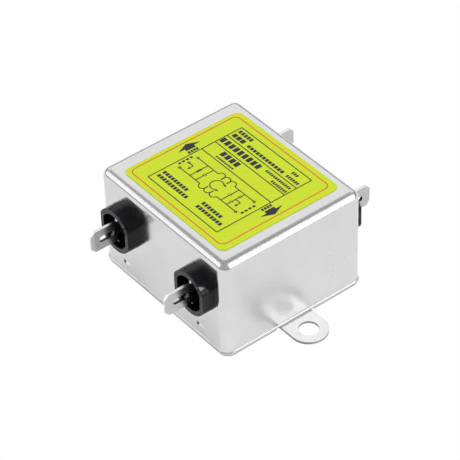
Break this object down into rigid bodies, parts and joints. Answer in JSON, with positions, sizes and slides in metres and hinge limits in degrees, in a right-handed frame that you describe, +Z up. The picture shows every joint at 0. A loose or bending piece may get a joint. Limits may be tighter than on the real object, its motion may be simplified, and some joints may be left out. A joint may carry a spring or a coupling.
{
  "type": "emi line filter",
  "caption": "Chassis-mount EMI line filter: drawn metal can on an eared base plate, push-on tab terminals in black insulating cups, flat label.",
  "frame": {"origin": "middle of the mounting face, under the base plate", "axes": "+X towards the two load terminals, Y from ear to ear, +Z up through the label"},
  "size_m": [0.0662, 0.0712, 0.0303],
  "materials": {
    "can_steel": "bright tinned sheet, satin mirror",
    "plate_steel": "bright tinned sheet",
    "black_plastic": "moulded, low gloss",
    "tinned_brass": "bright tin plate over brass",
    "label_green": "satin film",
    "label_orange": "printed ink",
    "label_ink": "printed ink",
    "insulating_paper": "pressed board",
    "board_laminate": "phenolic paper laminate",
    "ferrite": "sintered, coated",
    "enamelled_copper": "enamelled wire",
    "divider_film": "cut sheet",
    "capacitor_yellow": "moulded case",
    "capacitor_blue": "dipped ceramic disc",
    "resistor_body": "lacquered",
    "tinned_wire": "tinned copper wire",
    "solder": "solder",
    "potting_resin": "cast epoxy resin"
  },
  "bodies": {
    "root": {"can_shell": "can_steel", "base_plate": "plate_steel", "bushing_line_1": "black_plastic", "bushing_line_2": "black_plastic", "bushing_load_1": "black_plastic", "bushing_load_2": "black_plastic", "terminal_line_1": "tinned_brass", "terminal_line_2": "tinned_brass", "terminal_load_1": "tinned_brass", "terminal_load_2": "tinned_brass", "label": "label_green", "label_border": "label_orange", "label_print": "label_ink", "insulation_sheet": "insulating_paper", "circuit_board": "board_laminate", "choke_core": "ferrite", "choke_winding_1": "enamelled_copper", "choke_winding_2": "enamelled_copper", "choke_divider": "divider_film", "x_capacitor_line": "capacitor_yellow", "x_capacitor_load": "capacitor_yellow", "y_capacitor_1": "capacitor_blue", "y_capacitor_2": "capacitor_blue", "bleeder_resistor": "resistor_body", "x_capacitor_leads": "tinned_wire", "y_capacitor_leads": "tinned_wire", "resistor_leads": "tinned_wire", "solder_joints": "solder", "potting_resin": "potting_resin"}
  },
  "joints": []
}
